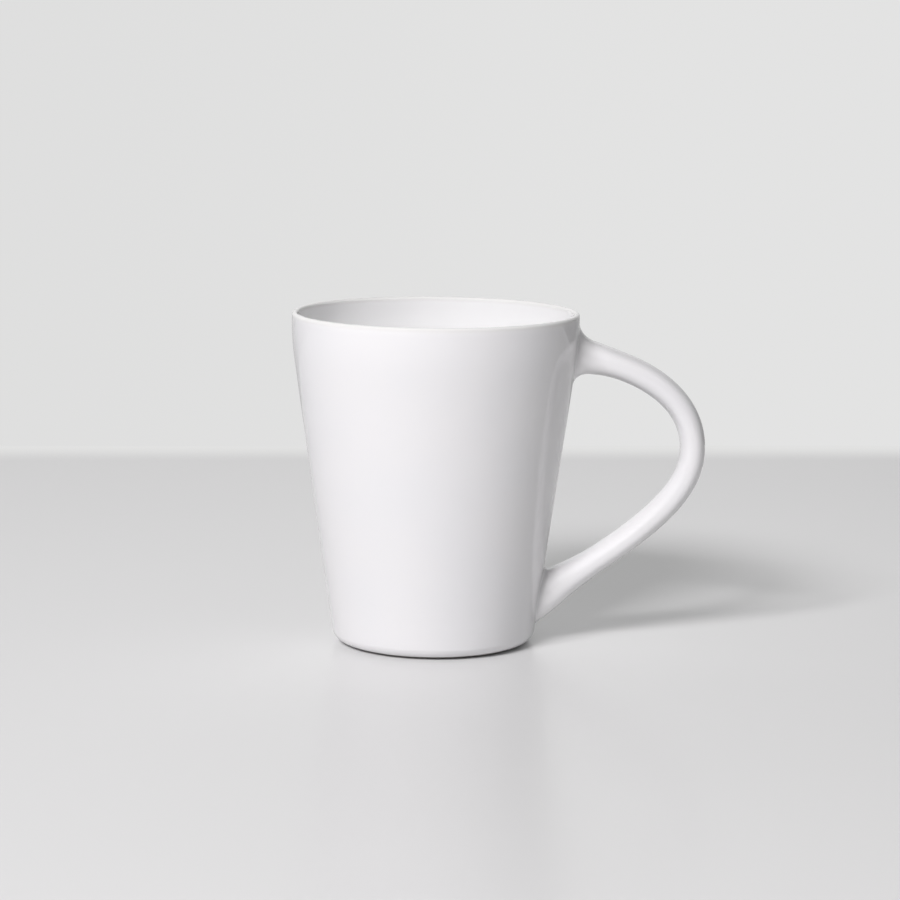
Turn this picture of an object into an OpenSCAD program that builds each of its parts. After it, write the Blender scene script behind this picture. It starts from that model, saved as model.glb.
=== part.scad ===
// Glazed drinking mug: a tapered cup thrown in one piece, with a separately
// cast loop handle joined on by two collars of slip (clay paste).
// Standing plane z = 0, cup axis on Z, handle towards +X. Millimetres.

/* [Cup] */
// outer diameter at the rim
rim_d = 86; // [80:1:94]
// overall height
height = 100; // [96:1:110]
// diameter the straight wall would have if it ran on down to the table
base_d = 60.4; // [56:0.4:66]
// radius of the slow turn from the sloping wall to the upright rim
shoulder_r = 80; // [60:5:120]
// height of the upright band under the top of the rim
rim_band = 3; // [2.5:0.5:5]
// thickness of the rounded lip
lip_t = 1.8; // [1.6:0.1:2.6]
// thickness of the wall at its foot
wall_t = 4.2; // [3:0.1:5]
// thickness of the floor
floor_t = 4.8; // [3:0.1:6]
// radius inside, where the wall meets the floor
floor_r = 9; // [5:1:14]

/* [Foot] */
// radius outside, where the wall turns under
heel_r = 3.6; // [2:0.2:4]
// how far the bare ring it stands on is set in from where the wall turns under
foot_inset = 0.65; // [0.2:0.05:3]
// width of that ring
foot_w = 2.6; // [2:0.2:5]
// height of the glazed underside above the table
foot_h = 0.6; // [0.4:0.1:1.5]
// height of the hollow inside the ring
hollow_h = 2; // [1.6:0.1:3]
// small bevel on the ring's edges
foot_bevel = 0.3; // [0.1:0.1:0.5]

/* [Handle loop] */
// depth below the rim's top at which the loop's centre line leaves the wall
top_drop = 12.7; // [11.5:0.1:14]
// height above the table at which it comes back to the wall
low_z = 15.1; // [14.5:0.1:18]
// how far the centre line stands out beyond the rim
stand_out = 34.5; // [28:0.5:42]
// depth below the rim's top of its furthest point
bend_drop = 40.7; // [36:0.1:46]
// angle below level at which the loop leaves the wall
top_angle = 8; // [4:1:14]
// angle above level at which the lower arm leaves the wall
low_angle = 31; // [26:1:35]
// length of straight pull out of the top root
pull_top = 18.2; // [14:0.2:22]
// length of straight pull above the furthest point
pull_up = 16.3; // [12:0.1:19]
// length of straight pull below it
pull_down = 11.4; // [9:0.1:14]
// length of straight pull out of the lower root
pull_low = 43; // [36:0.5:46]

/* [Handle section] */
// thickness of the upper arm in the loop's own plane
top_t = 8.3; // [7:0.1:9.5]
// thickness at the furthest point
loop_t = 7.5; // [6.5:0.1:9]
// thickness of the lower arm
low_t = 7.5; // [6.5:0.1:9]
// width across the loop at the top root
top_w = 13.4; // [11:0.1:16]
// width across it at the furthest point
loop_w = 12.5; // [10:0.1:16]
// width across it at the lower root
low_w = 14.6; // [11:0.1:17]
// squareness of the oval section (2 is a true oval)
oval = 2.3; // [2:0.1:3]
// extra thickness gained at the top root
top_flare = 3.4; // [1:0.1:4.5]
// length over which it is gained
top_flare_l = 15; // [10:1:20]
// extra thickness gained at the lower root
low_flare = 4.6; // [1:0.1:5]
// length over which it is gained
low_flare_l = 21; // [14:1:26]

/* [Slip joints] */
// thickness of the slip between the handle's end and the wall
slip_t = 0.5; // [0.3:0.1:0.8]
// how far the top collar runs out along the handle
top_grip = 5.5; // [4:0.5:7]
// how far the lower collar runs out along the handle
low_grip = 8.5; // [7.5:0.5:10]
// spread of the top collar where it sinks into the wall
top_spread = 4; // [2:0.1:4.6]
// spread of the lower collar where it sinks into the wall
low_spread = 2.2; // [1.6:0.1:3]

/* [Hidden] */
$fn = 96;
rim_r = rim_d / 2;
base_r = base_d / 2;
band_z = height - rim_band;
top_z = height - top_drop;
bend_z = height - bend_drop;
reach = rim_r + stand_out;
under_z = hollow_h + floor_t;       // top face of the floor
ease = 0.004;                       // arcs run this far past their neighbours, so they cross cleanly
sides = 32;                         // points round the handle
up_steps = 17;                      // rings along the upper and the lower curve
down_steps = 22;
zone_steps = 4;                     // rings from a collar's edge to the handle's end
collar_steps = 7;                   // rings from a collar's edge into the wall
sink = 0.5;                         // depth to which a collar is drawn before the wall trims it
top_zone = top_grip;
low_zone = low_grip;

// ---- the cup's walls ------------------------------------------------------
// A wall is a straight slope from foot_x at z = 0 that turns upright at top_x.
// These give where the turn starts, [x, z], and the slope's angle.
function turn_c(top_x) = [top_x - shoulder_r, band_z];
function turn_a(foot_x, top_x) =
    let (c = turn_c(top_x), d = norm(c - [foot_x, 0]))
    atan2(c[1], c[0] - foot_x) - asin(shoulder_r / d);
function turn_p(foot_x, top_x) =
    let (a = turn_a(foot_x, top_x), d = norm(turn_c(top_x) - [foot_x, 0]),
         l = sqrt(d * d - shoulder_r * shoulder_r))
    [foot_x + l * cos(a), l * sin(a)];

wall_a = turn_a(base_r, rim_r);
wall_p = turn_p(base_r, rim_r);
function wall_x(z) =
    z < wall_p[1] ? base_r + z / tan(wall_a) :
    z < band_z ? rim_r - shoulder_r + sqrt(pow(shoulder_r, 2) - pow(z - band_z, 2)) : rim_r;
// centre of the arc of corner_r between such a slope and a level face at low
function corner(foot_x, top_x, low, corner_r) =
    let (a = turn_a(foot_x, top_x)) [foot_x + (low + corner_r) / tan(a) - corner_r / sin(a), low + corner_r];
foot_r = corner(base_r, rim_r, foot_h, heel_r)[0] - foot_inset;

// half section of everything inside such a wall, from low up past the rim,
// with the bottom corner rounded to corner_r
module within(foot_x, top_x, low, corner_r) {
    a = turn_a(foot_x, top_x);
    p = turn_p(foot_x, top_x);
    c = corner(foot_x, top_x, low, corner_r);
    intersection() {
        polygon([[0, low], [foot_x + low / tan(a), low], [top_x, (top_x - foot_x) * tan(a)],
                 [top_x, height + 2], [0, height + 2]]);
        union() {
            translate(turn_c(top_x)) circle(r = shoulder_r + ease, $fn = 360);
            translate([-5, -5]) square([rim_d, p[1] + 5]);
            translate([-5, band_z]) square([rim_d, height]);
        }
        union() {
            translate(c) circle(r = corner_r + ease);
            translate([-5, low - 5]) square([c[0] + 5, corner_r + 5]);
            translate([-5, c[1] - corner_r * cos(a)]) square([rim_d, height]);
        }
    }
}
module outside() { within(base_r, rim_r, foot_h, heel_r); }
module inside() { within(base_r - wall_t, rim_r - lip_t, under_z, floor_r); }
// the whole cup as if it were solid, for trimming the collars to the wall
module solid_cup() { rotate_extrude($fn = 256) outside(); }

module cup_section() {
    lip_r = lip_t / 2 + ease;
    in_r = foot_r - foot_w;
    difference() {
        union() {
            intersection() {
                outside();
                union() {
                    translate([rim_r - lip_t / 2, height - lip_r]) circle(r = lip_r);
                    square([rim_r + 5, height - lip_r]);
                }
            }
            polygon([[in_r - 1, foot_h + 0.3], [in_r, foot_bevel], [in_r + foot_bevel, 0],
                     [foot_r - foot_bevel, 0], [foot_r, foot_bevel], [foot_r, foot_h + 0.3]]);
        }
        inside();
        polygon([[-1, -1], [in_r, -1], [in_r, hollow_h - foot_bevel],
                 [in_r - foot_bevel, hollow_h], [-1, hollow_h]]);
    }
}

// ---- the handle's centre line, in the plane y = 0, as [x, z] -----------------
top_root = [wall_x(top_z), top_z];
low_root = [wall_x(low_z), low_z];
upper = [top_root, top_root + pull_top * [cos(top_angle), -sin(top_angle)],
         [reach, bend_z + pull_up], [reach, bend_z]];
lower = [[reach, bend_z], [reach, bend_z - pull_down],
         low_root + pull_low * [cos(low_angle), sin(low_angle)], low_root];
function on(c, t) =
    pow(1 - t, 3) * c[0] + 3 * pow(1 - t, 2) * t * c[1] + 3 * (1 - t) * t * t * c[2] + pow(t, 3) * c[3];
function along(c, t) =
    let (d = pow(1 - t, 2) * (c[1] - c[0]) + 2 * (1 - t) * t * (c[2] - c[1]) + t * t * (c[3] - c[2]))
    d / norm(d);
// length of a curve from 0 to t, and the t at which a length is reached
function run(c, t, n = 40) =
    t <= 0 ? 0 : let (p = [for (i = [0:n]) on(c, t * i / n)])
    [for (i = 0, s = 0; i < n; s = s + norm(p[i + 1] - p[i]), i = i + 1) s][n - 1] + norm(p[n] - p[n - 1]);
function reach_t(c, s, a = 0, b = 1, k = 22) =
    let (m = (a + b) / 2) k == 0 ? m : run(c, m) < s ? reach_t(c, s, m, b, k - 1) : reach_t(c, s, a, m, k - 1);

up_l = run(upper, 1);
down_l = run(lower, 1);
all_l = up_l + down_l;
top_t0 = reach_t(upper, top_zone);
low_t0 = reach_t(lower, down_l - low_zone);

// ---- the handle's section at s, the length from the top root -------------------
function glide(x) = x * x * (3 - 2 * x);
function blend(a, b, c, s) =
    s < all_l / 2 ? a + (b - a) * glide(2 * s / all_l) : b + (c - b) * glide(2 * s / all_l - 1);
function swell(s) =
    top_flare * pow(max(0, 1 - s / top_flare_l), 2) + low_flare * pow(max(0, 1 - (all_l - s) / low_flare_l), 2);
function half_t(s) = (blend(top_t, loop_t, low_t, s) + swell(s)) / 2;
function half_w(s) = (blend(top_w, loop_w, low_w, s) + swell(s) / 3) / 2;
function soft_cos(a) = sign(cos(a)) * pow(abs(cos(a)), 2 / oval);
function soft_sin(a) = sign(sin(a)) * pow(abs(sin(a)), 2 / oval);
// point j of a section centred at c = [x, z], facing along d, grown by g and shrunk by f
function point(c, d, s, j, g = 0, f = 1) =
    let (a = 360 * j / sides, u = f * (half_t(s) + g) * soft_cos(a), w = f * (half_w(s) + g) * soft_sin(a))
    [c[0] - u * d[1], w, c[1] + u * d[0]];
function ring(c, d, s) = [for (j = [0:sides - 1]) point(c, d, s, j)];

// distance from p along direction -o, [x, z], to the wall pushed out by gap
function land(p, o, gap, t = 0, k = 14) =
    k == 0 ? t : land(p, o, gap, t + (norm([p[0] - t * o[0], p[1]]) - wall_x(p[2] - t * o[1]) - gap) / o[0], k - 1);
function back(p, o, t) = p - t * [o[0], 0, o[1]];

// a root: where its zone starts c, the curve's direction there d, the way out of
// the wall o, its length z and the length s at the wall
function zone_s(r, v) = r[4] + (1 - v) * (r[4] == 0 ? r[3] : -r[3]);
function zone_ring(r, v) = [for (j = [0:sides - 1])
    back(point(r[0], r[1], zone_s(r, v), j), r[2], v * land(point(r[0], r[1], r[4], j), r[2], slip_t))];
function cap_ring(r, f) = [for (j = [0:sides - 1])
    let (p = point(r[0], r[1], r[4], j, 0, f)) back(p, r[2], land(p, r[2], slip_t))];
function cap_mid(r, gap) = let (p = [r[0][0], 0, r[0][1]]) back(p, r[2], land(p, r[2], gap));
function grow(w, spread) = spread * (0.25 * w + 0.75 * (1 - sqrt(1 - w * w)));
function collar_ring(r, w, spread) = [for (j = [0:sides - 1])
    back(point(r[0], r[1], zone_s(r, w), j, grow(w, spread)), r[2],
         w * land(point(r[0], r[1], r[4], j, spread), r[2], -sink))];

top_c = on(upper, top_t0);
top_d = along(upper, top_t0);
low_c = on(lower, low_t0);
low_d = along(lower, low_t0);
top_end = [top_c, top_d, top_d, top_zone, 0];
low_end = [low_c, low_d, -low_d, low_zone, all_l];

// rings in order from the top wall round to the lower wall
top_rings = concat([cap_ring(top_end, 1 / 3), cap_ring(top_end, 2 / 3)],
                   [for (i = [zone_steps:-1:0]) zone_ring(top_end, i / zone_steps)]);
low_rings = concat([for (i = [0:zone_steps]) zone_ring(low_end, i / zone_steps)],
                   [cap_ring(low_end, 2 / 3), cap_ring(low_end, 1 / 3)]);
up_rings = [for (i = [1:up_steps])
    let (t = reach_t(upper, top_zone + (up_l - top_zone) * i / up_steps)) ring(on(upper, t), along(upper, t), run(upper, t))];
down_rings = [for (i = [1:down_steps - 1])
    let (t = reach_t(lower, (down_l - low_zone) * i / down_steps)) ring(on(lower, t), along(lower, t), up_l + run(lower, t))];
top_collar = [for (i = [1:collar_steps]) collar_ring(top_end, sin(90 * i / collar_steps), top_spread)];
low_collar = [for (i = [collar_steps:-1:1]) collar_ring(low_end, sin(90 * i / collar_steps), low_spread)];

// a closed skin over rings of points, shut at each end by a single point
module skin(rings, first, last, inside_out = false) {
    n = len(rings);
    function at(i, j) = 1 + i * sides + j % sides;
    tip = 1 + n * sides;
    faces = concat(
        [for (j = [0:sides - 1]) [0, at(0, j + 1), at(0, j)]],
        [for (i = [0:n - 2], j = [0:sides - 1]) [at(i, j), at(i, j + 1), at(i + 1, j + 1)]],
        [for (i = [0:n - 2], j = [0:sides - 1]) [at(i, j), at(i + 1, j + 1), at(i + 1, j)]],
        [for (j = [0:sides - 1]) [tip, at(n - 1, j), at(n - 1, j + 1)]]);
    polyhedron(
        points = concat([first], [for (r = rings, p = r) p], [last]),
        faces = inside_out ? [for (f = faces) [f[2], f[1], f[0]]] : faces);
}

// ---- the pieces -------------------------------------------------------------
module cup_body() {
    color([0.93, 0.93, 0.92]) rotate_extrude($fn = 128) cup_section();
}

module handle() {
    color([0.95, 0.95, 0.94])
    skin(concat(top_rings, up_rings, down_rings, low_rings), cap_mid(top_end, slip_t), cap_mid(low_end, slip_t));
}

module upper_slip_joint() {
    color([0.9, 0.9, 0.89])
    difference() {
        skin(concat(top_rings, top_collar), cap_mid(top_end, slip_t), cap_mid(top_end, -3), true);
        solid_cup();
    }
}

module lower_slip_joint() {
    color([0.9, 0.9, 0.89])
    difference() {
        skin(concat(low_collar, low_rings), cap_mid(low_end, -3), cap_mid(low_end, slip_t), true);
        solid_cup();
    }
}

cup_body();
handle();
upper_slip_joint();
lower_slip_joint();
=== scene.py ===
"""Glazed drinking mug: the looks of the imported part.

A cup thrown in one piece, a cast loop handle, and the two collars of slip that
join them, all under one white glaze. Sizes are in millimetres until a piece is
built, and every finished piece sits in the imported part's own frame, in metres.
"""
import logging
import math
from dataclasses import dataclass, field
from enum import Enum

import bmesh
import bpy
from mathutils import Matrix, Vector


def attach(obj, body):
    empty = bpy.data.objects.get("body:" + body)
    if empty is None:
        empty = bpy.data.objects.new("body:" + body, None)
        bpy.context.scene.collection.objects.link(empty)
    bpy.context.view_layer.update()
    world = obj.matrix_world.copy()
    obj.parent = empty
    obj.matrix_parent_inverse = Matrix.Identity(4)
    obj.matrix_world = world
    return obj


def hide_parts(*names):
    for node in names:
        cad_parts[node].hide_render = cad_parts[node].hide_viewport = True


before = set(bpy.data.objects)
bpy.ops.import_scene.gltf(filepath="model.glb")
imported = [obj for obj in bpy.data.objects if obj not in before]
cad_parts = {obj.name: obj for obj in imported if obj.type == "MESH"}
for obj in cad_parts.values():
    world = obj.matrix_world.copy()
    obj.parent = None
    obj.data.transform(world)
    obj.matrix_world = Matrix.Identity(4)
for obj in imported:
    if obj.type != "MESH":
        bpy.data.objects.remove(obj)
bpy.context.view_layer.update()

MM = 0.001
LOG = logging.getLogger("mug")

Pair = tuple[float, float]
Ring = tuple[float, float, float, float]
Colour = tuple[float, float, float]


class Root(Enum):
    """The two ends of the handle."""

    UPPER = "upper"
    LOWER = "lower"


# ---------------------------------------------------------------- shader nodes
class Value:
    """A socket that holds a number, with the operators that shader maths needs."""

    def __init__(self, nodes: "NodeMaker", socket: bpy.types.NodeSocket) -> None:
        """Wraps a socket.

        Args:
            nodes: the maker that adds further nodes.
            socket: an output socket that holds a number.
        """
        self.nodes = nodes
        self.socket = socket

    def _math(self, operation: str, first: object, second: object) -> "Value":
        """Adds one Math node and returns its result."""
        made = self.nodes.add("ShaderNodeMath", {"operation": operation}, {0: first, 1: second})
        return Value(self.nodes, made.outputs[0])

    def __add__(self, other: object) -> "Value":
        """self + other."""
        return self._math("ADD", self, other)

    def __radd__(self, other: float) -> "Value":
        """other + self."""
        return self._math("ADD", other, self)

    def __sub__(self, other: object) -> "Value":
        """self - other."""
        return self._math("SUBTRACT", self, other)

    def __rsub__(self, other: float) -> "Value":
        """other - self."""
        return self._math("SUBTRACT", other, self)

    def __mul__(self, other: object) -> "Value":
        """self * other."""
        return self._math("MULTIPLY", self, other)

    def __rmul__(self, other: float) -> "Value":
        """other * self."""
        return self._math("MULTIPLY", other, self)

    def __pow__(self, other: float) -> "Value":
        """self to the power of other."""
        return self._math("POWER", self, other)

    def lobe(self, sharpness: float) -> "Value":
        """Its positive part to a power, which makes a soft round patch of a direction's cosine."""
        return self._math("MAXIMUM", self, 0.0) ** sharpness

    def step(self, low: float, high: float) -> "Value":
        """Rises smoothly from 0 at low to 1 at high, or falls where low is above high.

        Args:
            low: the value that gives 0.
            high: the value that gives 1.

        Returns:
            The smooth step.
        """
        ends = (low, high, 0.0, 1.0) if low < high else (high, low, 1.0, 0.0)
        made = self.nodes.add(
            "ShaderNodeMapRange", {"interpolation_type": "SMOOTHSTEP"},
            {"Value": self, "From Min": ends[0], "From Max": ends[1], "To Min": ends[2], "To Max": ends[3]})
        return Value(self.nodes, made.outputs["Result"])


@dataclass
class NodeMaker:
    """Adds nodes to one tree.

    Attributes:
        tree: the tree.
    """

    tree: bpy.types.NodeTree

    def add(self, kind: str, settings: dict | None = None, inputs: dict | None = None) -> bpy.types.Node:
        """Adds a node of any kind.

        Args:
            kind: the node's type.
            settings: properties, which are set before the sockets.
            inputs: a value, socket or Value for each input, by name or number.

        Returns:
            The new node.
        """
        made = self.tree.nodes.new(kind)
        for name, value in (settings or {}).items():
            setattr(made, name, value)
        for name, value in (inputs or {}).items():
            if isinstance(value, Value):
                value = value.socket
            if isinstance(value, bpy.types.NodeSocket):
                self.tree.links.new(value, made.inputs[name])
            else:
                made.inputs[name].default_value = value
        return made

    def noise(self, point: bpy.types.NodeSocket, grain: float, detail: float = 2.0, rough: float = 0.5) -> Value:
        """A noise field.

        Args:
            point: where it is read.
            grain: the size of its blobs in millimetres.
            detail: how many finer layers it has.
            rough: how strong those layers are.

        Returns:
            Its value, about 0.5 on average.
        """
        made = self.add("ShaderNodeTexNoise", None,
                        {"Vector": point, "Scale": 1 / (grain * MM), "Detail": detail, "Roughness": rough})
        return Value(self, made.outputs[0])

    def mix(self, share: object, first: object, second: object) -> bpy.types.NodeSocket:
        """Mixes two colours.

        Args:
            share: 0 for the first colour and 1 for the second.
            first: a colour or a socket.
            second: a colour or a socket.

        Returns:
            The mixed colour.
        """
        def full(colour: object) -> object:
            """A colour with its alpha."""
            return (*colour, 1.0) if isinstance(colour, tuple) else colour

        made = self.add("ShaderNodeMix", {"data_type": "RGBA"}, {0: share, 6: full(first), 7: full(second)})
        return made.outputs[2]

    def place(self) -> tuple[bpy.types.NodeSocket, Value, Value, Value]:
        """The object's own coordinates, whole and as x, y and z in metres."""
        point = self.add("ShaderNodeTexCoord").outputs["Object"]
        parts = self.add("ShaderNodeSeparateXYZ", None, {0: point})
        return (point, *(Value(self, out) for out in parts.outputs))


# -------------------------------------------------------------------- finishes
@dataclass(frozen=True)
class Glaze:
    """White glaze, fired glossy over pale clay, and the bare clay where the foot was wiped.

    Lengths are in millimetres.

    Attributes:
        white, cool: the glaze's tone, which drifts between the two.
        inner: its tone inside the cup, painted whiter than the outside: painted light on the cup's shaded inside.
        warm: its tone where it thins over the lip.
        root_light: a whiter tone at the handle's roots, painted light on roots that lie in the cup's shade.
        clay: the bare clay.
        gloss: its least roughness.
        ior: its index of refraction.
        drift: the size of the drifts of tone.
        ripple, peel, pit: the size of the long ripples, of the fine orange peel and of the pinholes.
        ripple_depth, peel_depth, pit_depth: how deep each of them is.
        clay_grain, clay_depth: the size and depth of the clay's grain.
        smear, haze: the size of the duller smears and of the fine haze.
        smear_rough, haze_rough: the roughness that each of them adds.
        bare_z: the height at which the glaze was wiped off the foot.
        lip_z: the heights between which it thins.
        inner_slope, inner_foot: a cone inside the clay that parts the inner face from the outer.
        outer_slope: the outer wall's slope.
        root_light_out, root_light_in: the radii at the table of the cones between which the painted light at the
            roots fades.
    """

    white: Colour = (0.87, 0.862, 0.872)
    inner: Colour = (0.95, 0.95, 0.95)
    warm: Colour = (0.83, 0.82, 0.80)
    cool: Colour = (0.858, 0.854, 0.868)
    root_light: Colour = (0.96, 0.952, 0.96)
    clay: Colour = (0.70, 0.66, 0.60)
    gloss: float = 0.01
    ior: float = 1.64
    drift: float = 26.0
    ripple: float = 9.0
    ripple_depth: float = 0.030
    peel: float = 1.3
    peel_depth: float = 0.0022
    pit: float = 1.9
    pit_depth: float = 0.010
    clay_grain: float = 0.28
    clay_depth: float = 0.03
    smear: float = 7.0
    smear_rough: float = 0.015
    haze: float = 0.5
    haze_rough: float = 0.01
    bare_z: float = 0.34
    lip_z: Pair = (98.2, 99.5)
    inner_slope: float = 0.1895
    inner_foot: float = 24.1
    outer_slope: float = 0.14
    root_light_out: Pair = (42.5, 31.8)
    root_light_in: Pair = (30.0, 32.2)

    def material(self, name: str, thrown: bool) -> bpy.types.Material:
        """Makes the glaze.

        Args:
            name: the material's name.
            thrown: True for the cup, which has the lip and the bare foot, and
            False for the handle, whose roots are painted whiter as painted light on their shade.

        Returns:
            The material.
        """
        made = bpy.data.materials.new(name)
        made.use_nodes = True
        nodes = NodeMaker(made.node_tree)
        shader = made.node_tree.nodes["Principled BSDF"]
        shader.inputs["IOR"].default_value = self.ior
        point, x, y, z = nodes.place()

        # the glaze drifts slowly in tone, and has a few pinholes
        drift = nodes.noise(point, self.drift, 1.0)
        colour = nodes.mix(drift.step(0.35, 0.7), self.white, self.cool)
        pits = nodes.noise(point, self.pit, 0.0).step(0.842, 0.862)
        rough = (self.gloss + self.smear_rough * nodes.noise(point, self.smear, 2.0)
                 + self.haze_rough * nodes.noise(point, self.haze, 1.0))

        # a long ripple, the fine orange peel and the pinholes
        height = (nodes.noise(point, self.ripple, 1.0) * self.ripple_depth
                  + nodes.noise(point, self.peel, 2.0) * self.peel_depth - pits * self.pit_depth)
        if thrown:
            reach = (x * x + y * y) ** 0.5
            # inside the cup the glaze is painted whiter than outside: painted light on the shaded inside
            inside = (reach - self.inner_slope * z).step((self.inner_foot + 0.5) * MM, (self.inner_foot - 0.5) * MM)
            colour = nodes.mix(inside, colour, self.inner)
            thin = z.step(self.lip_z[0] * MM, self.lip_z[1] * MM)
            colour = nodes.mix(thin * 0.6, colour, self.warm)
            edge = z + nodes.noise(point, 2.4, 2.0) * (0.16 * MM)
            bare = edge.step((self.bare_z + 0.16) * MM, (self.bare_z + 0.06) * MM)
            grain = nodes.noise(point, self.clay_grain, 3.0, 0.65)
            clay = nodes.mix(grain.step(0.3, 0.75), self.clay, tuple(0.86 * part for part in self.clay))
            colour = nodes.mix(bare, colour, clay)
            rough = rough + bare * (0.62 + 0.2 * grain)
            height = height * (1 - bare) + bare * grain * self.clay_depth
        else:
            # the handle's roots are painted whiter: painted light on roots that lie in the cup's shade
            cone = (x * x + y * y) ** 0.5 - self.outer_slope * z
            lit_roots = (cone.step(self.root_light_out[0] * MM, self.root_light_out[1] * MM)
                      * cone.step(self.root_light_in[0] * MM, self.root_light_in[1] * MM))
            colour = nodes.mix(lit_roots, colour, self.root_light)
        bump = nodes.add("ShaderNodeBump", None, {"Strength": 1.0, "Distance": MM, "Height": height})
        links = made.node_tree.links
        links.new(colour, shader.inputs["Base Color"])
        links.new(rough.socket, shader.inputs["Roughness"])
        links.new(bump.outputs[0], shader.inputs["Normal"])
        return made


@dataclass(frozen=True)
class TableTop:
    """A pale satin table that fades softly into the wall behind it.

    Lengths are in metres.

    Attributes:
        near, far, left: its tone in front, at the back and towards the left: painted light and shade, lighter
            towards the back and darker towards the left.
        clouds: the tone of its faint clouds.
        wall: the glow that it fades into.
        gloss: its roughness.
        ior: its index of refraction.
        cloud: the size of a cloud, in millimetres.
        width, depth: its size.
        edge_y: where it ends.
        fade: where the fading starts and ends, from that edge.
    """

    near: Colour = (0.80, 0.80, 0.797)
    far: Colour = (0.87, 0.87, 0.87)
    clouds: Colour = (0.6, 0.6, 0.6)
    left: Colour = (0.70, 0.70, 0.70)
    wall: Colour = (0.755, 0.755, 0.75)
    gloss: float = 0.25
    ior: float = 1.4
    cloud: float = 60.0
    width: float = 6.0
    depth: float = 2.4
    edge_y: float = 0.358
    fade: Pair = (-0.026, 0.014)

    def material(self) -> bpy.types.Material:
        """Makes the table's material, on the table's own coordinates.

        Returns:
            The material.
        """
        made = bpy.data.materials.new("table_satin")
        made.use_nodes = True
        nodes = NodeMaker(made.node_tree)
        shader = made.node_tree.nodes["Principled BSDF"]
        shader.inputs["IOR"].default_value = self.ior
        shader.inputs["Roughness"].default_value = self.gloss
        point, x, y, z = nodes.place()
        cloud = nodes.noise(point, self.cloud, 2.0)
        # the table is painted lighter towards the back and darker towards the left: painted light and shade
        colour = nodes.mix(y.step(-0.25, self.edge_y - 0.05), self.near, self.far)
        colour = nodes.mix(cloud * 0.05, colour, self.clouds)
        colour = nodes.mix(x.step(0.3, -0.4) * 0.6, colour, self.left)
        made.node_tree.links.new(colour, shader.inputs["Base Color"])
        glow = nodes.add("ShaderNodeEmission", None, {"Color": (*self.wall, 1.0), "Strength": 1.0})
        fade = y.step(self.edge_y + self.fade[0], self.edge_y + self.fade[1])
        blend = nodes.add("ShaderNodeMixShader", None, {0: fade, 1: shader.outputs[0], 2: glow.outputs[0]})
        made.node_tree.links.new(blend.outputs[0], made.node_tree.nodes["Material Output"].inputs[0])
        return made


# -------------------------------------------------------------- modelling tools
class Bench:
    """Small steps that every piece is made with."""

    @staticmethod
    def clear() -> None:
        """Leaves edit mode and deselects every object."""
        if bpy.context.object is not None and bpy.context.object.mode != "OBJECT":
            bpy.ops.object.mode_set(mode="OBJECT")
        bpy.ops.object.select_all(action="DESELECT")

    @staticmethod
    def take(*objects: bpy.types.Object) -> None:
        """Selects only these objects and makes the first one active."""
        Bench.clear()
        for each in objects:
            each.select_set(True)
        bpy.context.view_layer.objects.active = objects[0]

    @staticmethod
    def edit(piece: bpy.types.Object, kind: str = "VERT") -> None:
        """Opens a piece in edit mode with nothing selected.

        Args:
            piece: the piece.
            kind: what is selected: VERT, EDGE or FACE.
        """
        Bench.take(piece)
        bpy.ops.object.mode_set(mode="EDIT")
        bpy.ops.mesh.select_mode(type=kind)
        bpy.ops.mesh.select_all(action="DESELECT")

    @staticmethod
    def pick(piece: bpy.types.Object, wanted: set[int]) -> None:
        """Selects vertices by number in the open piece, with the edges between them.

        Args:
            piece: the piece in edit mode.
            wanted: the numbers of the vertices.
        """
        mesh = bmesh.from_edit_mesh(piece.data)
        for vert in mesh.verts:
            vert.select = vert.index in wanted
        mesh.select_mode = {"VERT"}
        mesh.select_flush_mode()
        bmesh.update_edit_mesh(piece.data)

    @staticmethod
    def settle(piece: bpy.types.Object) -> None:
        """Puts a piece's place into its mesh."""
        Bench.take(piece)
        bpy.ops.object.transform_apply(location=True, rotation=True, scale=True)

    @staticmethod
    def modify(piece: bpy.types.Object, kind: str, **settings: object) -> None:
        """Adds a modifier and applies it.

        Args:
            piece: the piece.
            kind: the modifier's type.
            settings: the modifier's settings.
        """
        Bench.take(piece)
        made = piece.modifiers.new(kind.lower(), kind)
        for name, value in settings.items():
            setattr(made, name, value)
        bpy.ops.object.modifier_apply(modifier=made.name)

    @staticmethod
    def smooth(piece: bpy.types.Object) -> None:
        """Shades a piece smoothly."""
        Bench.take(piece)
        bpy.ops.object.shade_smooth()


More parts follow.
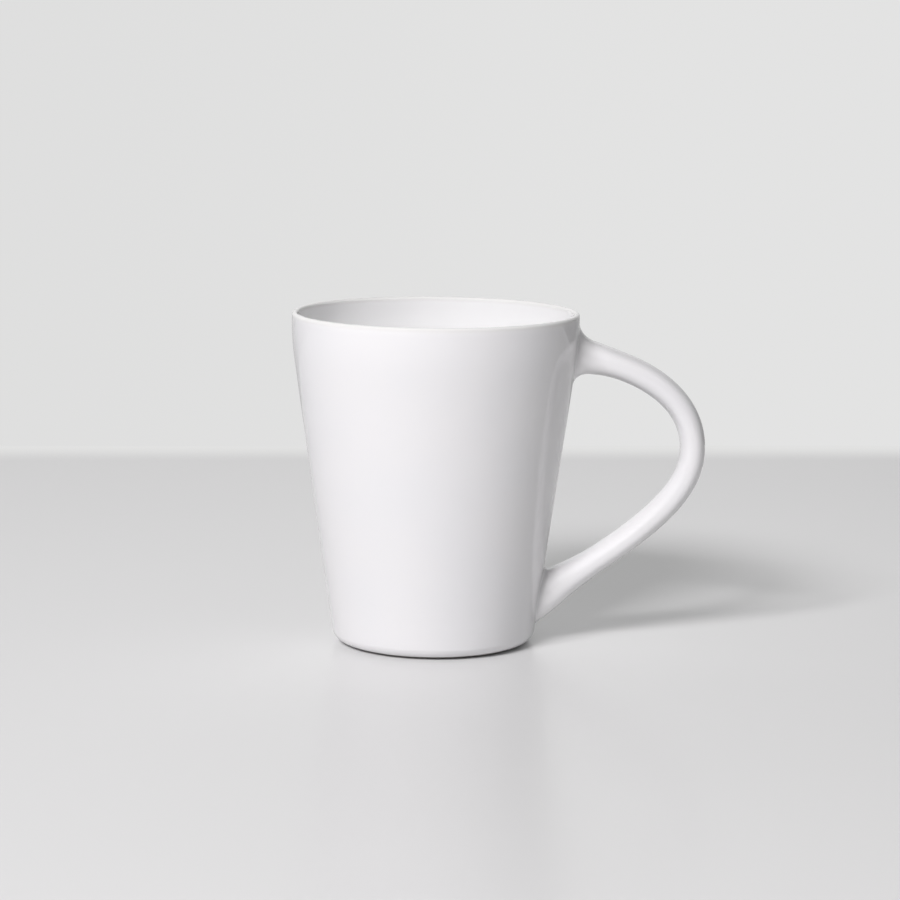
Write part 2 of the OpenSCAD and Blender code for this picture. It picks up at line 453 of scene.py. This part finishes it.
# ------------------------------------------------------------------ the pieces
@dataclass
class Cup:
    """The thrown cup: foot ring, heel, tapered wall, rounded lip and floor.

    Lengths are in millimetres.

    Attributes:
        rim_r, base_r: the outer radius at the rim, and of the wall carried down to the table.
        height: the whole height.
        shoulder_r, rim_band: the radius of the turn under the rim, and the upright band over it.
        lip_t, wall_t: the wall's thickness at the lip and at its foot.
        under_z: the floor's height inside.
        floor_r, heel_r: the radii of the inner and the outer lower corner.
        foot_inset, foot_w, foot_h: how far in the foot ring stands, its width and its height.
        hollow_h, foot_bevel: the depth of the hollow inside the ring, and the ring's rounding.
        hold: how close the extra loops lie that keep a corner crisp.
        around: how many points go round.
        shell: the finished cup.
    """

    rim_r: float = 43.0
    height: float = 100.0
    base_r: float = 30.2
    shoulder_r: float = 80.0
    rim_band: float = 3.0
    lip_t: float = 1.8
    wall_t: float = 4.2
    under_z: float = 6.8
    floor_r: float = 9.0
    heel_r: float = 3.6
    foot_inset: float = 0.65
    foot_w: float = 2.6
    foot_h: float = 0.6
    hollow_h: float = 2.0
    foot_bevel: float = 0.3
    hold: float = 0.12
    around: int = 128
    shell: bpy.types.Object = field(init=False)

    def turn(self, foot_x: float, top_x: float) -> tuple[float, Pair, Pair]:
        """Where a sloping wall turns upright.

        Args:
            foot_x: the wall's radius at the table.
            top_x: its radius at the top.

        Returns:
            The slope's angle, the centre of the turn and the point where it starts.
        """
        centre = (top_x - self.shoulder_r, self.height - self.rim_band)
        gap = math.hypot(centre[0] - foot_x, centre[1])
        angle = math.atan2(centre[1], centre[0] - foot_x) - math.asin(self.shoulder_r / gap)
        length = math.sqrt(gap * gap - self.shoulder_r ** 2)
        return angle, centre, (foot_x + length * math.cos(angle), length * math.sin(angle))

    def wall(self, foot_x: float, top_x: float, low: float, corner_r: float) -> list[Pair]:
        """The points of one side of the wall, from the level face at low to the rim band.

        Args:
            foot_x: the wall's radius at the table.
            top_x: its radius at the top.
            low: the height of the level face that it grows from.
            corner_r: the radius of the corner between them.

        Returns:
            Radii and heights, from the bottom up.
        """
        angle, centre, start = self.turn(foot_x, top_x)
        corner = (foot_x + (low + corner_r) / math.tan(angle) - corner_r / math.sin(angle), low + corner_r)
        points = [(corner[0] + corner_r * math.sin(turned), corner[1] - corner_r * math.cos(turned))
                  for turned in (angle * step / 11 for step in range(12))]
        last = points[-1]
        steps = 15
        points += [(last[0] + (start[0] - last[0]) * step / steps, last[1] + (start[1] - last[1]) * step / steps)
                   for step in range(1, steps)]
        lean = math.pi / 2 - angle
        points += [(centre[0] + self.shoulder_r * math.cos(lean * (1 - step / 5)),
                    centre[1] - self.shoulder_r * math.sin(lean * (1 - step / 5))) for step in range(6)]
        return points

    def profile(self) -> list[Pair]:
        """The whole turned outline.

        Returns:
            Radii and heights from the middle of the underside, over the lip, to the middle of the floor.
        """
        outer = self.wall(self.base_r, self.rim_r, self.foot_h, self.heel_r)
        inner = self.wall(self.base_r - self.wall_t, self.rim_r - self.lip_t, self.under_z, self.floor_r)
        foot_r = outer[0][0] - self.foot_inset
        in_r, bevel, hold = foot_r - self.foot_w, self.foot_bevel, self.hold
        ceiling = [(in_r * share, self.hollow_h) for share in (0.3, 0.6, 0.85, 0.95)]
        foot = [(in_r - bevel - hold, self.hollow_h), (in_r - bevel, self.hollow_h), (in_r, self.hollow_h - bevel),
                (in_r, self.hollow_h - bevel - hold), (in_r, bevel + hold), (in_r, bevel),
                (in_r + bevel * 0.3, bevel * 0.3), (in_r + bevel, 0.0),
                (in_r + bevel + hold, 0.0), (foot_r - bevel - hold, 0.0), (foot_r - bevel, 0.0),
                (foot_r - bevel * 0.3, bevel * 0.3), (foot_r, bevel), (foot_r, bevel + 0.1),
                (foot_r + 0.04, self.foot_h - 0.05), (foot_r + 0.16, self.foot_h), (foot_r + 0.36, self.foot_h)]
        lip_r = self.lip_t / 2
        lip = [(self.rim_r - lip_r + lip_r * math.cos(turned), self.height - lip_r + lip_r * math.sin(turned))
               for turned in (math.pi * step / 12 for step in range(13))]
        floor = [(inner[0][0] * share, self.under_z) for share in (0.95, 0.8, 0.55, 0.3, 0.04)]
        return ([(1.0, self.hollow_h)] + ceiling + foot + outer
                + [(self.rim_r, self.height - lip_r - 0.6)] + lip
                + [(self.rim_r - self.lip_t, self.height - lip_r - 0.6)] + inner[::-1] + floor)

    def build(self) -> bpy.types.Object:
        """Raises the cup ring by ring from a small disc under its floor.

        Returns:
            The cup.
        """
        (radius, level), *rest = self.profile()
        Bench.clear()
        bpy.ops.mesh.primitive_circle_add(vertices=self.around, radius=radius * MM, fill_type="TRIFAN",
                                          location=(0, 0, level * MM))
        self.shell = bpy.context.object
        self.shell.name = self.shell.data.name = "cup_shell"
        Bench.settle(self.shell)
        bpy.ops.object.mode_set(mode="EDIT")
        bpy.ops.mesh.select_all(action="SELECT")
        bpy.ops.mesh.region_to_loop()
        for next_radius, next_level in rest:
            bpy.ops.mesh.extrude_region_move(
                TRANSFORM_OT_translate={"value": (0, 0, (next_level - level) * MM)})
            grow = next_radius / radius
            bpy.ops.transform.resize(value=(grow, grow, 1), center_override=(0, 0, next_level * MM))
            radius, level = next_radius, next_level
        bpy.ops.mesh.extrude_region_move()
        bpy.ops.mesh.merge(type="CENTER")
        bpy.ops.mesh.select_all(action="SELECT")
        bpy.ops.mesh.normals_make_consistent(inside=False)
        bpy.ops.object.mode_set(mode="OBJECT")
        Bench.modify(self.shell, "SUBSURF", levels=1, render_levels=1)
        Bench.smooth(self.shell)
        return self.shell

    def dress(self, glaze: Glaze) -> None:
        """Glazes the cup, hangs it on the root body and hides the imported cup_body.

        Args:
            glaze: the finish.
        """
        self.shell.data.materials.append(glaze.material("white_glaze_cup", thrown=True))
        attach(self.shell, "root")
        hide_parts("cup_body")


@dataclass
class Arm:
    """One half of the handle's centre line: a cubic curve, with the lengths along it.

    Attributes:
        corners: the curve's four control points, as x and z in millimetres.
        steps: how many pieces it is measured in.
        lengths: the length up to each of them.
    """

    corners: tuple[Pair, Pair, Pair, Pair]
    steps: int = 600
    lengths: list[float] = field(init=False)

    def __post_init__(self) -> None:
        """Measures the curve."""
        self.lengths = [0.0]
        for step in range(self.steps):
            here, there = self.at(step / self.steps), self.at((step + 1) / self.steps)
            self.lengths.append(self.lengths[-1] + math.dist(here, there))

    @property
    def length(self) -> float:
        """The curve's whole length."""
        return self.lengths[-1]

    def at(self, share: float) -> Pair:
        """The point at a share of the curve's own parameter.

        Args:
            share: 0 at the first corner and 1 at the last.

        Returns:
            The point, as x and z.
        """
        weights = ((1 - share) ** 3, 3 * share * (1 - share) ** 2, 3 * share ** 2 * (1 - share), share ** 3)
        return tuple(sum(w * c[axis] for w, c in zip(weights, self.corners)) for axis in (0, 1))

    def along(self, length: float) -> tuple[Pair, Pair]:
        """The point and the direction at a length along the curve.

        Args:
            length: how far along it, in millimetres.

        Returns:
            The point and a direction of length 1, as x and z.
        """
        low = max(0, min(self.steps - 1, sum(1 for each in self.lengths if each <= length) - 1))
        part = (length - self.lengths[low]) / (self.lengths[low + 1] - self.lengths[low])
        share = (low + part) / self.steps
        near, far = self.at(share - 1e-4), self.at(share + 1e-4)
        gap = math.dist(near, far)
        return self.at(share), ((far[0] - near[0]) / gap, (far[1] - near[1]) / gap)


@dataclass(frozen=True)
class Fillet:
    """How a collar swells out to meet the wall, in millimetres.

    Attributes:
        reach: how far from the wall the swelling starts.
        over, under, aside: how much it adds above the handle, below it and on each side.
    """

    reach: float
    over: float
    under: float
    aside: float

    def ring(self, turned: float) -> Ring:
        """One ring of the swelling.

        Args:
            turned: 0 where it leaves the handle, and a quarter turn where it meets the wall, in radians.

        Returns:
            Its distance from the wall, its growth in half thickness and in half width, and its rise.
        """
        swell = 1 - math.cos(turned)
        return (self.reach * (1 - math.sin(turned)), (self.over + self.under) / 2 * swell,
                self.aside * swell, (self.over - self.under) / 2 * swell)


@dataclass
class Handle:
    """The cast loop handle and the two collars of slip that join it to the wall.

    Lengths are in millimetres and angles in degrees.

    Attributes:
        cup: the cup that it joins.
        top_drop, low_z: how far under the rim the upper root lies, and the lower root's height.
        stand_out, bend_drop: the furthest point's distance from the rim, and its drop under it.
        top_angle, low_angle: the centre line's slope at the two roots.
        pull_top, pull_up, pull_down, pull_low: the lengths of the curve's tangents, from top to foot.
        thick, wide: the section's size at the top, the furthest point and the foot.
        oval: the power of the section's outline, where 2 is an ellipse.
        top_flare, low_flare: the thickness that each end adds, and over what length.
        top_splay, low_splay: the same for the width.
        grip: how far from the wall each collar takes over from the loop.
        fillet: the swelling of each collar.
        turns: how many rings a swelling has.
        skirt, sunk: how far the last ring spreads, and how deep it is sunk into the wall.
        blend_in: how far from the wall its own shading takes over.
        around, rings: how many points a ring has, and how many rings the loop has.
        upper, lower: the two halves of the centre line.
        top_level: the upper root's height.
        whole: the centre line's length.
        pieces: the finished pieces by name.
    """

    cup: Cup
    top_drop: float = 12.7
    low_z: float = 14.5
    stand_out: float = 34.5
    bend_drop: float = 40.7
    top_angle: float = 8.0
    low_angle: float = 31.0
    pull_top: float = 18.2
    pull_up: float = 16.3
    pull_down: float = 11.4
    pull_low: float = 43.0
    thick: tuple[float, float, float] = (8.3, 7.5, 7.5)
    wide: tuple[float, float, float] = (13.4, 12.5, 14.6)
    oval: float = 2.3
    top_flare: Pair = (3.4, 15.0)
    low_flare: Pair = (5.6, 23.0)
    top_splay: Pair = (1.2, 24.0)
    low_splay: Pair = (0.5, 23.0)
    grip: dict[Root, float] = field(default_factory=lambda: {Root.UPPER: 5.5, Root.LOWER: 8.5})
    fillet: dict[Root, Fillet] = field(default_factory=lambda: {
        Root.UPPER: Fillet(4.0, 3.4, 3.4, 0.5),
        Root.LOWER: Fillet(2.6, 1.9, 0.5, 0.4)})
    turns: int = 7
    skirt: float = 1.0
    sunk: float = 0.16
    blend_in: float = 0.3
    around: int = 48
    rings: int = 76
    upper: Arm = field(init=False)
    lower: Arm = field(init=False)
    top_level: float = field(init=False)
    whole: float = field(init=False)
    pieces: dict[str, bpy.types.Object] = field(init=False, default_factory=dict)

    def __post_init__(self) -> None:
        """Lays out the two halves of the centre line."""
        top_z, bend_z = self.cup.height - self.top_drop, self.cup.height - self.bend_drop
        reach = self.cup.rim_r + self.stand_out
        top, low = (self.wall_x(top_z), top_z), (self.wall_x(self.low_z), self.low_z)
        lean, rise = math.radians(self.top_angle), math.radians(self.low_angle)
        self.upper = Arm((top, (top[0] + self.pull_top * math.cos(lean), top[1] - self.pull_top * math.sin(lean)),
                          (reach, bend_z + self.pull_up), (reach, bend_z)))
        self.lower = Arm(((reach, bend_z), (reach, bend_z - self.pull_down),
                          (low[0] + self.pull_low * math.cos(rise), low[1] + self.pull_low * math.sin(rise)), low))
        self.top_level = top_z
        self.whole = self.upper.length + self.lower.length

    def wall_x(self, level: float) -> float:
        """The radius of the cup's outer wall.

        Args:
            level: the height, in millimetres.

        Returns:
            The radius, in millimetres.
        """
        angle, centre, start = self.cup.turn(self.cup.base_r, self.cup.rim_r)
        if level < start[1]:
            return self.cup.base_r + level / math.tan(angle)
        return centre[0] + math.sqrt(self.cup.shoulder_r ** 2 - (level - centre[1]) ** 2)

    def half(self, length: float) -> Pair:
        """Half the handle's thickness and half its width.

        Args:
            length: how far along from the upper root, in millimetres.

        Returns:
            The two halves, in millimetres.
        """
        share = 2 * length / self.whole
        first = 0 if share < 1 else 1
        ease = share - first
        ease = ease * ease * (3 - 2 * ease)
        thick = (self.thick[first] + (self.thick[first + 1] - self.thick[first]) * ease
                 + self.flare(length, self.top_flare, self.low_flare))
        wide = (self.wide[first] + (self.wide[first + 1] - self.wide[first]) * ease
                + self.flare(length, self.top_splay, self.low_splay))
        return thick / 2, wide / 2

    def flare(self, length: float, top: Pair, low: Pair) -> float:
        """What the two ends add to the handle.

        Args:
            length: how far along from the upper root, in millimetres.
            top: how much the upper end adds, and over what length.
            low: the same at the lower end.

        Returns:
            The added size, in millimetres.
        """
        return (top[0] * max(0.0, 1 - length / top[1]) ** 2
                + low[0] * max(0.0, 1 - (self.whole - length) / low[1]) ** 2)

    def station(self, length: float) -> tuple[Pair, Pair]:
        """The centre line's point and direction.

        Args:
            length: how far along from the upper root, in millimetres.

        Returns:
            The point and a direction of length 1, as x and z.
        """
        if length < self.upper.length:
            return self.upper.along(length)
        return self.lower.along(length - self.upper.length)

    def template(self) -> bpy.types.Object:
        """A round section of radius 1 whose shoulders are pushed out a little.

        Returns:
            The section, lying flat.
        """
        Bench.clear()
        bpy.ops.mesh.primitive_circle_add(vertices=self.around, radius=1.0)
        made = bpy.context.object
        quarter = self.around // 4
        Bench.edit(made)
        for step in range(1, quarter):
            turned = 2 * math.pi * step / self.around
            push = (math.cos(turned) ** (2 / self.oval - 1), math.sin(turned) ** (2 / self.oval - 1))
            four = {step, 2 * quarter - step, 2 * quarter + step, self.around - step}
            Bench.pick(made, four)
            bpy.ops.transform.resize(value=(push[1], push[0], 1), center_override=(0, 0, 0))
        bpy.ops.object.mode_set(mode="OBJECT")
        return made

    def section(self, template: bpy.types.Object, length: float, grow: float = 0.0) -> bpy.types.Object:
        """A copy of the template, sized and placed across the handle.

        Args:
            template: the section of radius 1.
            length: how far along the handle it stands, in millimetres.
            grow: how much larger it is than the handle, in millimetres.

        Returns:
            The section, unapplied, with its own Z along the handle.
        """
        Bench.take(template)
        bpy.ops.object.duplicate()
        made = bpy.context.object
        centre, way = self.station(length)
        half_t, half_w = self.half(length)
        made.location = (centre[0] * MM, 0, centre[1] * MM)
        made.rotation_euler = (0, math.atan2(way[0], way[1]), 0)
        made.scale = ((half_t + grow) * MM, (half_w + grow) * MM, MM)
        return made

    def footprint(self, template: bpy.types.Object, root: Root, ring: Ring) -> bpy.types.Object:
        """A section slid along the handle's own direction until it lies on the cup's wall, then drawn back.

        Args:
            template: the section of radius 1.
            root: the end of the handle.
            ring: the distance from the wall, the growth in half thickness and half width, and the rise.

        Returns:
            The section.
        """
        lift, thicker, wider, rise = ring
        upper = root is Root.UPPER
        away, start = (1, 0.0) if upper else (-1, self.whole)
        made = self.section(template, start + away * self.grip[root])
        way = self.station(start + away * self.grip[root])[1]
        half_t, half_w = self.half(start + away * max(0.0, lift))
        level = self.top_level if upper else self.low_z
        lean = math.atan2(self.wall_x(level + 0.5) - self.wall_x(level - 0.5), 1.0)
        slant = half_t * math.tan(math.atan2(away * way[1], away * way[0]) + lean)
        over_t, under_t = (self.half(start + away * max(0.0, lift + part))[0] for part in (slant, -slant))
        rise += (over_t - under_t) / 2
        made.scale = (((over_t + under_t) / 2 + thicker) * MM, (half_w + wider) * MM, MM)
        made.location.x -= way[1] * away * rise * MM
        made.location.z += way[0] * away * rise * MM
        Bench.take(made)
        bpy.ops.object.transform_apply(location=False, rotation=False, scale=True)
        Bench.modify(made, "SHRINKWRAP", target=self.cup.shell, wrap_method="PROJECT", wrap_mode="ON_SURFACE",
                     use_project_z=True, use_negative_direction=upper, use_positive_direction=not upper)
        Bench.take(made)
        bpy.ops.transform.translate(value=(way[0] * away * lift * MM, 0, way[1] * away * lift * MM))
        return made

    def collar(self, template: bpy.types.Object, root: Root) -> list[bpy.types.Object]:
        """The rings of one collar, from the one sunk in the wall out to the handle's end.

        Args:
            template: the section of radius 1.
            root: the end of the handle.

        Returns:
            The rings, in order.
        """
        fillet = self.fillet[root]
        lift, thicker, wider, rise = fillet.ring(math.pi / 2)
        rings = [(-self.sunk, thicker + self.skirt, wider + self.skirt, rise)]
        rings += [fillet.ring(math.pi / 2 * (1 - step / (self.turns - 1))) for step in range(self.turns)]
        return [self.footprint(template, root, ring) for ring in rings]

    def build(self) -> dict[str, bpy.types.Object]:
        """Lofts the handle and its collars as one skin, then parts them.

        Returns:
            The three pieces by name.
        """
        template = self.template()
        first, last = self.grip[Root.UPPER], self.whole - self.grip[Root.LOWER]
        stations = [first + (last - first) * step / (self.rings - 1) for step in range(self.rings)]
        rings = (self.collar(template, Root.UPPER) + [self.section(template, length) for length in stations]
                 + self.collar(template, Root.LOWER)[::-1])
        for number, each in enumerate(rings):
            Bench.settle(each)
            mark = each.data.attributes.new("ring", "INT", "POINT")
            mark.data.foreach_set("value", [number] * len(mark.data))
        skin = rings[0]
        Bench.take(*rings)
        bpy.ops.object.join()
        bpy.data.objects.remove(template)
        skin.name = skin.data.name = "handle_skin"
        marks = [bpy.data.materials.new(name) for name in ("loop", "upper", "lower")]
        for mark in marks:
            skin.data.materials.append(mark)
        Bench.edit(skin)
        order = self.ring_order(skin)
        bridges = list(zip(order, order[1:]))
        deep = self.turns + 1
        slots = [1] * deep + [0] * (len(bridges) - 2 * deep) + [2] * deep
        long = (deep - 1, len(bridges) - deep)
        short = [index for index in range(len(bridges)) if index not in long]
        for index in (*short, *long):
            Bench.pick(skin, bridges[index][0] | bridges[index][1])
            if index in long:
                bpy.ops.mesh.bridge_edge_loops(number_cuts=3, interpolation="SURFACE", smoothness=1.0)
            else:
                bpy.ops.mesh.bridge_edge_loops()
            skin.active_material_index = slots[index]
            bpy.ops.object.material_slot_assign()
        bpy.ops.mesh.select_all(action="SELECT")
        bpy.ops.mesh.normals_make_consistent(inside=False)
        bpy.ops.object.mode_set(mode="OBJECT")
        Bench.modify(skin, "SUBSURF", levels=1, render_levels=1)
        Bench.smooth(skin)
        self.keep_shading(skin)
        self.part(skin)
        for mark in marks:
            bpy.data.materials.remove(mark)
        return self.pieces

    def keep_shading(self, skin: bpy.types.Object) -> None:
        """Notes how the unbroken glaze is shaded, and runs it into the wall's own shading at the roots.

        Args:
            skin: the whole skin.
        """
        flow = skin.data.attributes.new("flow", "FLOAT_VECTOR", "POINT")
        for vert, note in zip(skin.data.vertices, flow.data):
            x, y, z = (part / MM for part in vert.co)
            radius = math.hypot(x, y)
            proud = (radius - self.wall_x(z)) / self.blend_in
            share = max(0.0, min(1.0, proud))
            share = share * share * (3 - 2 * share)
            slope = (self.wall_x(z + 0.01) - self.wall_x(z - 0.01)) / 0.02
            wall = Vector((x / radius, y / radius, -slope)).normalized()
            note.vector = wall.lerp(vert.normal, share).normalized()

    def part(self, skin: bpy.types.Object) -> None:
        """Parts the skin into the handle and its two collars, and closes each of them.

        Args:
            skin: the whole skin, its faces marked by material slot.
        """
        Bench.edit(skin)
        bpy.ops.mesh.separate(type="MATERIAL")
        bpy.ops.object.mode_set(mode="OBJECT")
        found = sorted(bpy.context.selected_objects, key=lambda each: -len(each.data.vertices))
        found = [found[0]] + sorted(found[1:], key=lambda each: -each.data.vertices[0].co.z)
        for name, piece in zip(("handle_loop", "upper_slip", "lower_slip"), found):
            piece.name = piece.data.name = name
            Bench.edit(piece)
            bpy.ops.mesh.select_all(action="SELECT")
            bpy.ops.mesh.fill_holes(sides=0)
            bpy.ops.mesh.select_all(action="DESELECT")
            bpy.ops.mesh.select_face_by_sides(number=4, type="GREATER")
            bpy.ops.mesh.poke()
            bpy.ops.mesh.select_all(action="SELECT")
            bpy.ops.mesh.normals_make_consistent(inside=False)
            bpy.ops.object.mode_set(mode="OBJECT")
            flow = [Vector(note.vector) for note in piece.data.attributes["flow"].data]
            piece.data.normals_split_custom_set_from_vertices(flow)
            for extra in ("flow", "ring"):
                piece.data.attributes.remove(piece.data.attributes[extra])
            piece.data.materials.clear()
            self.pieces[name] = piece

    def ring_order(self, skin: bpy.types.Object) -> list[set[int]]:
        """The vertex numbers of each ring, in order from the upper root round to the lower.

        Args:
            skin: the joined rings, in edit mode.

        Returns:
            One set of numbers for each ring.
        """
        mesh = bmesh.from_edit_mesh(skin.data)
        mark = mesh.verts.layers.int["ring"]
        found = {}
        for vert in mesh.verts:
            found.setdefault(vert[mark], set()).add(vert.index)
        return [found[number] for number in sorted(found)]

    def dress(self, glaze: Glaze) -> None:
        """Glazes the pieces, hangs them on the root body and hides the imported parts that they stand for.

        Args:
            glaze: the finish.
        """
        finish = glaze.material("white_glaze_handle", thrown=False)
        stands = {"handle_loop": "handle", "upper_slip": "upper_slip_joint", "lower_slip": "lower_slip_joint"}
        for name, piece in self.pieces.items():
            piece.data.materials.append(finish)
            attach(piece, "root")
            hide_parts(stands[name])


# --------------------------------------------------------------------- studio
def direction(azimuth: float, elevation: float) -> Vector:
    """A direction from the mug.

    Args:
        azimuth: degrees from the camera's side, positive towards the handle.
        elevation: degrees above the table.

    Returns:
        The direction, of length 1.
    """
    turned, raised = math.radians(azimuth), math.radians(elevation)
    return Vector((math.sin(turned) * math.cos(raised), -math.cos(turned) * math.cos(raised), math.sin(raised)))


class Shows(Enum):
    """What a soft box shows in."""

    SHADE = "lit surfaces"
    SHEEN = "reflections"


@dataclass(frozen=True)
class SoftBox:
    """One rectangular lamp, which either lights the surfaces or only shows in their gloss.

    Attributes:
        name: its name.
        azimuth, elevation: where it hangs, as seen from the mug, in degrees.
        size: its width and height, in metres.
        power: its power, in watts.
        shows: what it shows in.
        colour: its colour.
    """

    name: str
    azimuth: float
    elevation: float
    size: Pair
    power: float
    shows: Shows
    colour: Colour = (1.0, 1.0, 1.0)

    def hang(self, distance: float, aim: Vector) -> None:
        """Hangs the lamp.

        Args:
            distance: how far it is from the mug, in metres.
            aim: the point that it faces.
        """
        data = bpy.data.lights.new(self.name, "AREA")
        data.shape, data.energy, data.color = "RECTANGLE", self.power, self.colour
        data.size, data.size_y = self.size
        made = bpy.data.objects.new(self.name, data)
        bpy.context.scene.collection.objects.link(made)
        way = direction(self.azimuth, self.elevation)
        made.location = way * distance + aim
        made.rotation_euler = way.to_track_quat("Z", "Y").to_euler()
        made.visible_glossy = self.shows is Shows.SHEEN
        made.visible_diffuse = self.shows is Shows.SHADE


@dataclass
class Studio:
    """The table, the wall behind it, the soft lights and the camera.

    Lengths are in metres and angles in degrees.

    Attributes:
        distance, rise: how far in front of the mug and how high the camera stands.
        pitch, yaw, roll: how it is turned down, to the right and about its own axis.
        lens: its focal length, in millimetres.
        boxes: the soft boxes.
        lamp_distance, lamp_aim: how far away they hang, and what they face.
        patches: the azimuth, elevation and strength of each soft patch of the room's glow.
        patch_sharpness: how tight the patches are.
        mirror_loss: how much weaker the glow is in reflections.
        table_turn, table_past: the table's turn, and how far it goes past its edge.
        wall_left, wall_right, wall_blend: the wall's two tones, painted shade that makes its left a little darker
            than its right, and the span that blends them.
    """

    distance: float = 0.89103
    rise: float = 0.20079
    pitch: float = 9.0935
    yaw: float = 0.2947
    roll: float = 0.5107
    lens: float = 120.0
    boxes: tuple[SoftBox, ...] = (
        SoftBox("key", -29.5, 37.5, (0.74, 0.42), 36.5, Shows.SHADE, (1.0, 0.985, 1.0)),
        SoftBox("sheen", -33.0, 37.0, (1.4, 1.1), 1.6, Shows.SHEEN),
        SoftBox("glint", -38.0, 37.0, (0.4, 0.28), 0.6, Shows.SHEEN))
    lamp_distance: float = 2.0
    lamp_aim: Vector = field(default_factory=lambda: Vector((0, 0, 0.05)))
    patches: tuple[tuple[float, float, float], ...] = (
        (180.0, 12.0, 1.03), (-135.0, 12.0, 0.81), (90.0, 45.0, 0.46), (30.0, 45.0, 0.44), (135.0, 12.0, 0.25),
        (-90.0, 20.0, 0.30))
    patch_sharpness: float = 8.0
    mirror_loss: float = 0.2
    table_turn: float = 2.94
    table_past: float = 0.016
    wall_left: Colour = (0.737, 0.737, 0.735)
    wall_right: Colour = (0.768, 0.768, 0.766)
    wall_blend: Pair = (-0.16, 0.10)

    def camera(self) -> None:
        """Sets up the camera."""
        pitch, yaw, roll = (math.radians(each) for each in (self.pitch, self.yaw, self.roll))
        ahead = Vector((math.sin(yaw) * math.cos(pitch), math.cos(yaw) * math.cos(pitch), -math.sin(pitch)))
        level = Vector((math.cos(yaw), -math.sin(yaw), 0))
        right = math.cos(roll) * level + math.sin(roll) * level.cross(ahead)
        above = right.cross(ahead)
        data = bpy.data.cameras.new("camera")
        data.lens, data.sensor_width = self.lens, 36.0
        data.clip_start, data.clip_end = 0.01, 20.0
        made = bpy.data.objects.new("camera", data)
        bpy.context.scene.collection.objects.link(made)
        turned = Matrix((right, above, -ahead)).transposed().to_4x4()
        made.matrix_world = Matrix.Translation((0, -self.distance, self.rise)) @ turned
        bpy.context.scene.camera = made

    def table(self, finish: TableTop) -> None:
        """Lays the table, whose far edge fades into the wall.

        Args:
            finish: its finish and its size.
        """
        Bench.clear()
        bpy.ops.mesh.primitive_plane_add(size=1.0)
        top = bpy.context.object
        top.name = "table_top"
        top.scale = (finish.width, finish.depth, 1)
        top.location = (0, finish.edge_y + self.table_past - finish.depth / 2, 0)
        Bench.settle(top)
        top.rotation_euler = (0, 0, math.radians(self.table_turn))
        top.data.materials.append(finish.material())

    def lights(self) -> None:
        """Hangs the soft boxes."""
        for box in self.boxes:
            box.hang(self.lamp_distance, self.lamp_aim)

    def room(self) -> None:
        """Sets the glow of the room: the wall as the eye sees it, and soft patches that light the mug."""
        world = bpy.data.worlds.new("room")
        bpy.context.scene.world = world
        world.use_nodes = True
        nodes = NodeMaker(world.node_tree)
        back = world.node_tree.nodes["Background"]
        way = nodes.add("ShaderNodeTexCoord").outputs["Generated"]
        parts = nodes.add("ShaderNodeSeparateXYZ", None, {0: way})
        x, y, z = (Value(nodes, out) for out in parts.outputs)
        glow = 0.0
        for azimuth, elevation, strength in self.patches:
            to = direction(azimuth, elevation)
            glow = (x * to.x + y * to.y + z * to.z).lobe(self.patch_sharpness) * strength + glow
        seen = nodes.add("ShaderNodeLightPath")
        eye, mirror = (Value(nodes, seen.outputs[name]) for name in ("Is Camera Ray", "Is Glossy Ray"))
        glow = glow * (1 - mirror * self.mirror_loss)
        made = nodes.add("ShaderNodeCombineColor", None, {0: glow, 1: glow, 2: glow})
        # the wall is painted a little darker on the left: painted shade
        wall = nodes.mix(x.step(*self.wall_blend), self.wall_left, self.wall_right)
        colour = nodes.mix(eye, made.outputs[0], wall)
        world.node_tree.links.new(colour, back.inputs["Color"])
        back.inputs["Strength"].default_value = 1.0

    def build(self) -> None:
        """Sets the stage."""
        self.camera()
        self.table(TableTop())
        self.lights()
        self.room()
        bpy.context.scene.view_settings.view_transform = "Standard"


def main() -> None:
    """Builds and dresses the mug's pieces, in order."""
    logging.basicConfig(level=logging.INFO, format="%(name)s: %(message)s")
    Studio().build()
    glaze = Glaze()
    cup = Cup()
    cup.build()
    LOG.info("cup_shell: %d faces", len(cup.shell.data.polygons))
    handle = Handle(cup)
    for name, piece in handle.build().items():
        LOG.info("%s: %d faces", name, len(piece.data.polygons))
    cup.dress(glaze)
    handle.dress(glaze)


if __name__ == "__main__":
    main()
